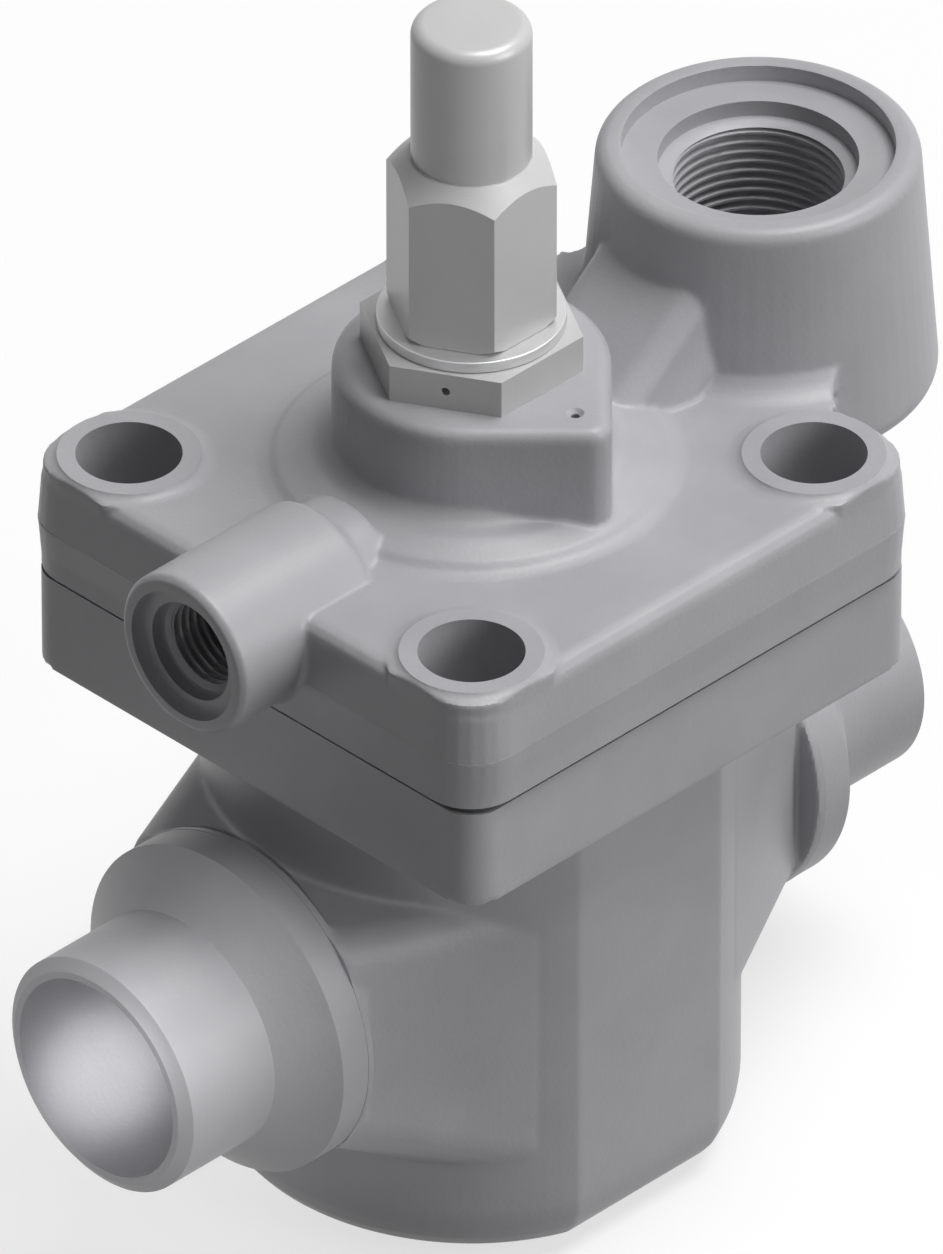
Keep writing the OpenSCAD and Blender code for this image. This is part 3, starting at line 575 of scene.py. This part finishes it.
# %% Make the gland nut
nut_af = (nut_high.y - nut_low.y) / mm
nut_foot, nut_top = nut_low.z / mm, nut_high.z / mm
hex_base, hex_face = boss_top, boss_top + 5.4
nut = hexagon("nut_piece", nut_af, hex_base, hex_face)
combine(nut, turned("shank", [(0, nut_foot), (9.5, nut_foot), (9.9, nut_foot + 0.4),
                              (9.9, hex_base + 1), (0, hex_base + 1)]), "UNION")
combine(nut, drill(7.3, hex_base + 1, hex_face + 2.4), "UNION")
combine(nut, threaded_rod(7.2, 7.9, 1.5, hex_face + 1.4, nut_top, 72), "UNION")
spindle_hole = drill(4.56, nut_foot - 1, nut_top + 2)
packing_room = drill(7.08, nut_foot - 1, nut_foot + 4.4)
wire_hole = placed(drill(0.6, 10, 16, 24), turn(90, "Y"), turn(210, "Z"),
                   shift(0, 0, hex_base + 2.7))
cut_away(nut, spindle_hole, packing_room, wire_hole)
print("gland nut:", len(nut.data.polygons), "faces")

# %% [markdown]
# ## The small round parts
#
# Washers, rings, the piston and the rod come straight from the CAD model. Their exact
# meshes are loose triangles, so each gets a merged copy with a fine bevel on its true
# edges. A bevel of a tenth of a millimetre is enough to catch a thin line of light.

# %% Dress the other CAD nodes
bodies = {"housing": ["cover_gasket", "module_sleeve", "seat_ring", "rod_bush", "spring_cup",
                      "gland_gasket", "packing_ring"],
          "servo": ["servo_piston", "piston_nut", "push_rod", "throttle_cone", "valve_plate",
                    "cone_nut"],
          "spindle": ["manual_spindle"],
          "cap_washer": ["cap_gasket"]}
slots = {part["node"]: part["material_slot"] for part in frame["record"]["subparts"]}


def break_edges(piece, width, angle):
    """A fine live bevel, in mm, on every edge sharper than the angle."""
    edge = piece.modifiers.new("broken edges", "BEVEL")
    edge.width = width * mm
    edge.segments = 2
    edge.limit_method = "ANGLE"
    edge.angle_limit = math.radians(angle)


def merged_copy(node):
    """A copy of a CAD node's mesh with its doubles merged and its flats cleaned."""
    bm = bmesh.new()
    bm.from_mesh(frame["nodes"][node].data)
    bmesh.ops.remove_doubles(bm, verts=bm.verts[:], dist=1e-6)
    bmesh.ops.dissolve_limit(bm, angle_limit=math.radians(0.5), verts=bm.verts[:],
                             edges=bm.edges[:], use_dissolve_boundaries=False)
    bmesh.ops.recalc_face_normals(bm, faces=bm.faces[:])
    piece = piece_from(bm, node + "_piece")
    break_edges(piece, 0.12, 35)
    return piece


small_parts = []
for body_name, nodes in bodies.items():
    for node in nodes:
        small_parts.append(finished(merged_copy(node), body_name, slots[node], node))
print("dressed:", len(small_parts), "small parts")

# %% [markdown]
# ## The closing spring
#
# The spring lies under the throttle cone and is pressed together when the valve opens.
# A curve with a round bevel could make a coil too, but a spin with a rise on each step
# sweeps the wire in one call and stays a plain mesh.

# %% Wind the closing spring
spring_low, spring_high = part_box("closing_spring")
wire_r, coil_r, coils, wire_sides, steps_per_coil = 0.8, 7.0, 4, 12, 40
steps = coils * steps_per_coil
rise = spring_high.z - spring_low.z - 2 * wire_r * mm
bm = bmesh.new()
bmesh.ops.create_circle(bm, cap_ends=False, segments=wire_sides, radius=wire_r * mm)
bmesh.ops.rotate(bm, verts=bm.verts[:], cent=(0, 0, 0),
                 matrix=Matrix.Rotation(math.pi / 2, 3, "X"))
bmesh.ops.translate(bm, verts=bm.verts[:], vec=(coil_r * mm, 0, spring_low.z + wire_r * mm))
bmesh.ops.spin(bm, geom=bm.verts[:] + bm.edges[:], cent=(0, 0, 0), axis=(0, 0, 1),
               dvec=(0, 0, rise / steps), angle=math.tau * coils, steps=steps)
bmesh.ops.holes_fill(bm, edges=bm.edges[:], sides=wire_sides)
bmesh.ops.recalc_face_normals(bm, faces=bm.faces[:])
spring = finished(piece_from(bm, "closing_spring_piece"), "housing", "spring_steel",
                  "closing_spring")
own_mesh(spring)
small_parts.append(spring)
print("spring:", len(spring.data.polygons), "faces")

# %% [markdown]
# ## Materials
#
# The photo shows one grey for all of the castings, with a trace of violet, and a
# lighter neutral grey for the cap. Real cast steel is grainy and never quite even in
# tone. So the cast material mixes two close greys by a soft noise, and a fine noise
# gives the grain of the sand. All patterns read Object coordinates, which stay put.

# %% A helper for noisy materials
rough_spread = 0.07


def noisy_material(name, low, high, spot, metallic, rough, grain, depth, lathe=False):
    """Two close colours mixed by soft noise, with a bump of sand grain or lathe rings.

    spot and grain are the scales of the two patterns, and depth is the bump's strength.
    The rings run round the valve's main axis.
    """
    material = bpy.data.materials.new(name)
    material.use_nodes = True
    tree = material.node_tree
    nodes, links = tree.nodes, tree.links
    shader = nodes["Principled BSDF"]
    shader.inputs["Metallic"].default_value = metallic
    place = nodes.new("ShaderNodeTexCoord")
    clouds = nodes.new("ShaderNodeTexNoise")
    clouds.inputs["Scale"].default_value = spot
    clouds.inputs["Detail"].default_value = 5.0
    links.new(place.outputs["Object"], clouds.inputs["Vector"])
    tone = nodes.new("ShaderNodeValToRGB")
    tone.color_ramp.elements[0].position = 0.3
    tone.color_ramp.elements[0].color = (*low, 1)
    tone.color_ramp.elements[1].position = 0.7
    tone.color_ramp.elements[1].color = (*high, 1)
    links.new(clouds.outputs["Fac"], tone.inputs["Fac"])
    links.new(tone.outputs["Color"], shader.inputs["Base Color"])
    dull = nodes.new("ShaderNodeMapRange")
    dull.inputs["To Min"].default_value = rough - rough_spread
    dull.inputs["To Max"].default_value = rough + rough_spread
    links.new(clouds.outputs["Fac"], dull.inputs["Value"])
    links.new(dull.outputs["Result"], shader.inputs["Roughness"])
    lift = nodes.new("ShaderNodeBump")
    lift.inputs["Strength"].default_value = depth
    lift.inputs["Distance"].default_value = 0.0002
    if lathe:
        relief = nodes.new("ShaderNodeTexWave")
        relief.wave_type = "RINGS"
        relief.rings_direction = "Z"
        relief.inputs["Distortion"].default_value = 0.6
    else:
        relief = nodes.new("ShaderNodeTexNoise")
        relief.inputs["Detail"].default_value = 3.0
    relief.inputs["Scale"].default_value = grain
    links.new(place.outputs["Object"], relief.inputs["Vector"])
    links.new(relief.outputs["Fac"], lift.inputs["Height"])
    links.new(lift.outputs["Normal"], shader.inputs["Normal"])
    return material


print("material helper ready")

# %% [markdown]
# ## Cast steel and bare steel
#
# A casting has two finishes at once: sandy skin, and brighter metal where it was
# machined. Painting a mask between them would be slow. The cuts above already gave
# each drilled or turned face the second material slot, so two materials are enough.

# %% Cast steel and machined steel
cast_steel = noisy_material("cast_steel", (0.395, 0.392, 0.412), (0.445, 0.442, 0.462), 70, 0.0,
                            0.42, 1500, 0.22)
face_steel = noisy_material("machined_face", (0.46, 0.46, 0.48), (0.52, 0.52, 0.54), 90, 0.2,
                            0.42, 900, 0.12)
for piece in (body, cover):
    piece.data.materials.clear()
    piece.data.materials.append(cast_steel)
    piece.data.materials.append(face_steel)
finished(body, "housing", "cast_body", "valve_body")
finished(cover, "housing", "cast_cover", "top_cover")
print("casting materials set")

# %% [markdown]
# ## The finishes of the small parts
#
# The cap and the gland nut are turned and plated: a light grey with fine rings from
# the lathe. Rubber is nearly black, the bush is bronze, and the seat plate and the
# piston ring are white plastic. Each could have a node tree of its own, but all are the
# same recipe with other numbers, so that they look like parts of one valve.

# %% Metals, rubber and plastic
finishes = {
    "plated_cap": noisy_material("plated_cap", (0.58, 0.58, 0.58), (0.63, 0.63, 0.63), 60, 0.12,
                                 0.36, 900, 0.02, lathe=True),
    "plated_nut": noisy_material("plated_nut", (0.54, 0.54, 0.54), (0.6, 0.6, 0.6), 60, 0.12,
                                 0.36, 900, 0.02, lathe=True),
    "aluminium_washer": noisy_material("washer_metal", (0.6, 0.6, 0.61), (0.68, 0.68, 0.68), 80,
                                       0.5, 0.38, 1200, 0.08, lathe=True),
    "machined_steel": noisy_material("machined_steel", (0.4, 0.41, 0.42), (0.5, 0.5, 0.51), 70,
                                     0.8, 0.34, 1100, 0.08, lathe=True),
    "polished_steel": noisy_material("polished_steel", (0.52, 0.52, 0.53), (0.6, 0.6, 0.61), 70,
                                     0.9, 0.24, 1500, 0.04, lathe=True),
    "spring_steel": noisy_material("spring_steel", (0.2, 0.2, 0.21), (0.28, 0.28, 0.29), 200, 0.8,
                                   0.4, 3000, 0.1),
    "bush_bronze": noisy_material("bush_bronze", (0.5, 0.32, 0.13), (0.58, 0.39, 0.17), 120, 0.85,
                                  0.35, 1100, 0.08, lathe=True),
    "gasket_fibre": noisy_material("gasket_fibre", (0.05, 0.055, 0.053), (0.09, 0.095, 0.09), 400,
                                   0.0, 0.85, 2500, 0.5),
    "seal_rubber": noisy_material("seal_rubber", (0.012, 0.012, 0.013), (0.022, 0.022, 0.022),
                                  300, 0.0, 0.55, 3000, 0.1),
    "packing_graphite": noisy_material("packing", (0.04, 0.04, 0.042), (0.07, 0.07, 0.072), 500,
                                       0.1, 0.6, 2500, 0.4),
    "white_plastic": noisy_material("white_plastic", (0.66, 0.65, 0.61), (0.74, 0.73, 0.69), 100,
                                    0.0, 0.42, 2000, 0.05),
}
print("finishes:", len(finishes))

# %% Give each part its finish
for piece, slot in ((cap, "plated_cap"), (nut, "plated_nut")):
    piece.data.materials.clear()
    piece.data.materials.append(finishes[slot])
    for face in piece.data.polygons:
        face.material_index = 0
    break_edges(piece, 0.15, 28)
finished(cap, "cap", "plated_cap", "spindle_cap")
finished(nut, "housing", "plated_nut", "gland_nut")
for piece in small_parts:
    piece.data.materials.clear()
    piece.data.materials.append(finishes[piece["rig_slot"]])
for node, mesh in frame["nodes"].items():
    if slots[node] in finishes:
        mesh.data.materials.clear()
        mesh.data.materials.append(finishes[slots[node]])
print("finished parts:", len(small_parts) + 2)

# %% [markdown]
# ## The floor
#
# The photo has a white ground and no wall. A white floor would throw much light back up
# and flatten the shaded sides. So the floor looks white to the camera and in shiny
# metal, and is greyer for the light that it throws back. The Light Path node tells the
# two apart. The valve's shadow stays on the floor, because only a part of the white
# glows by itself.

# %% A pale floor
def looking_rays(tree):
    """A socket that is 1 for what the camera, shiny metal or glass looks at, and else 0."""
    ray = tree.nodes.new("ShaderNodeLightPath")
    seen = ray.outputs["Is Camera Ray"]
    for kind in ("Is Glossy Ray", "Is Transmission Ray"):
        either = tree.nodes.new("ShaderNodeMath")
        either.operation = "MAXIMUM"
        tree.links.new(seen, either.inputs[0])
        tree.links.new(ray.outputs[kind], either.inputs[1])
        seen = either.outputs["Value"]
    return seen


floor_half = 6.0
thrown_tone, seen_tone, glow_level = 0.17, 0.36, 0.66
ground = bmesh.new()
bmesh.ops.create_grid(ground, x_segments=8, y_segments=8, size=floor_half)
floor = piece_from(ground, "floor")
floor_paint = bpy.data.materials.new("pale_floor")
floor_paint.use_nodes = True
tree = floor_paint.node_tree
paint = tree.nodes["Principled BSDF"]
paint.inputs["Roughness"].default_value = 0.9
paint.inputs["Specular IOR Level"].default_value = 0.1
seen = looking_rays(tree)
ground_tone = tree.nodes.new("ShaderNodeMix")
ground_tone.data_type = "RGBA"
ground_tone.inputs["A"].default_value = (thrown_tone, thrown_tone, thrown_tone, 1)
ground_tone.inputs["B"].default_value = (seen_tone, seen_tone, seen_tone, 1)
tree.links.new(seen, ground_tone.inputs["Factor"])
tree.links.new(ground_tone.outputs["Result"], paint.inputs["Base Color"])
glow = tree.nodes.new("ShaderNodeMath")
glow.operation = "MULTIPLY"
glow.inputs[1].default_value = glow_level
tree.links.new(seen, glow.inputs[0])
tree.links.new(glow.outputs["Value"], paint.inputs["Emission Strength"])
paint.inputs["Emission Color"].default_value = (1, 1, 1, 1)
floor.data.materials.append(floor_paint)
print("floor laid,", 2 * floor_half, "m wide")

# %% [markdown]
# ## Light
#
# In the photo the top faces are lightest, the faces to the right are middle grey and
# the faces to the left are dark. That asks for one broad lamp high above, a weaker one
# low on the right that reaches under the flange, and a weak even light from the
# surroundings. Shiny metal sees the surroundings as white, like the floor.

# %% Light the valve
world = bpy.data.worlds.new("studio")
bpy.context.scene.world = world
world.use_nodes = True
sky = world.node_tree
air = sky.nodes["Background"]
sky_thrown, sky_seen = 0.05, 1.0
level = sky.nodes.new("ShaderNodeMapRange")
level.inputs["To Min"].default_value = sky_thrown
level.inputs["To Max"].default_value = sky_seen
sky.links.new(looking_rays(sky), level.inputs["Value"])
sky.links.new(level.outputs["Result"], air.inputs["Strength"])
air.inputs["Color"].default_value = (1, 1, 1, 1)


def hang(data, target, direction, distance):
    """Hangs a lamp at a distance from the target, turned to face it."""
    lamp = bpy.data.objects.new(data.name, data)
    aim = Vector(direction).normalized()
    lamp.location = target + aim * distance
    lamp.rotation_euler = aim.to_track_quat("Z", "Y").to_euler()
    bpy.context.scene.collection.objects.link(lamp)


def soft_lamp(name, direction, distance, level, size):
    """A broad lamp that lights a face turned to it at the given plain level."""
    data = bpy.data.lights.new(name, "AREA")
    data.shape = "DISK"
    data.size = size
    data.energy = math.pi ** 2 * level * distance ** 2
    hang(data, valve_middle, direction, distance)


valve_middle = Vector((0, 0, 80 * mm))
soft_lamp("key_lamp", (0.26, -0.2, 0.95), 4.0, 0.87, 2.6)
soft_lamp("front_lamp", (0.3, -0.88, 0.34), 4.0, 0.34, 2.2)
print("broad lamps set")

# %% [markdown]
# ## Light in the open bore
#
# The open bore of the near weld end is bright in the photo, but a real tube is dark
# inside. More light on all of the valve would wash it out. Two narrow lamps from the
# camera's side reach just this end, and the narrower one just the wall of the bore.

# %% Throw light on the open weld end
def spot(name, target, level, angle, reach, radius):
    """A narrow soft-edged lamp that lights the point target at the given level."""
    data = bpy.data.lights.new(name, "SPOT")
    data.spot_size = math.radians(angle)
    data.spot_blend = 1.0
    data.shadow_soft_size = radius
    data.energy = 4 * math.pi ** 2 * level * reach ** 2
    hang(data, Vector(target) * mm, camera_side, reach)


camera_side = (-0.6, -0.56, 0.57)
spot("stub_lamp", (-pipe_end, 0, pipe_axis), 0.95, 2.5, 1.5, 0.03)
spot("bore_lamp", (-pipe_end + 10.7, 10, pipe_axis - 10), 1.2, 1.0, 1.3, 0.003)
print("narrow lamps set")

# %% [markdown]
# ## The camera
#
# The picture is an isometric view: the camera looks down at 35.26 degrees from a corner
# and the lines stay parallel. An orthographic camera would do, but a very long lens
# from far away looks the same and keeps a true camera. Its distance follows from the
# height of the picture and the scale that the standard pipe size gives.

# %% Set the camera
photo_height, pixels_per_mm = 1254, 7.66
view_centre = Vector((0, 0, 78.35 * mm))
camera_data = bpy.data.cameras.new("camera")
camera_data.lens = 900
camera_data.sensor_width = 36
camera = bpy.data.objects.new("camera", camera_data)
bpy.context.scene.collection.objects.link(camera)
frame_height = photo_height / pixels_per_mm * mm
distance = frame_height * camera_data.lens / camera_data.sensor_width
back = Vector((-1, -1, 1)).normalized()
camera.location = view_centre + back * distance
camera.rotation_euler = back.to_track_quat("Z", "Y").to_euler()
camera_data.clip_start, camera_data.clip_end = 0.1, 40
bpy.context.scene.camera = camera
bpy.context.scene.view_settings.view_transform = "Standard"
print("camera", round(distance, 3), "m away")
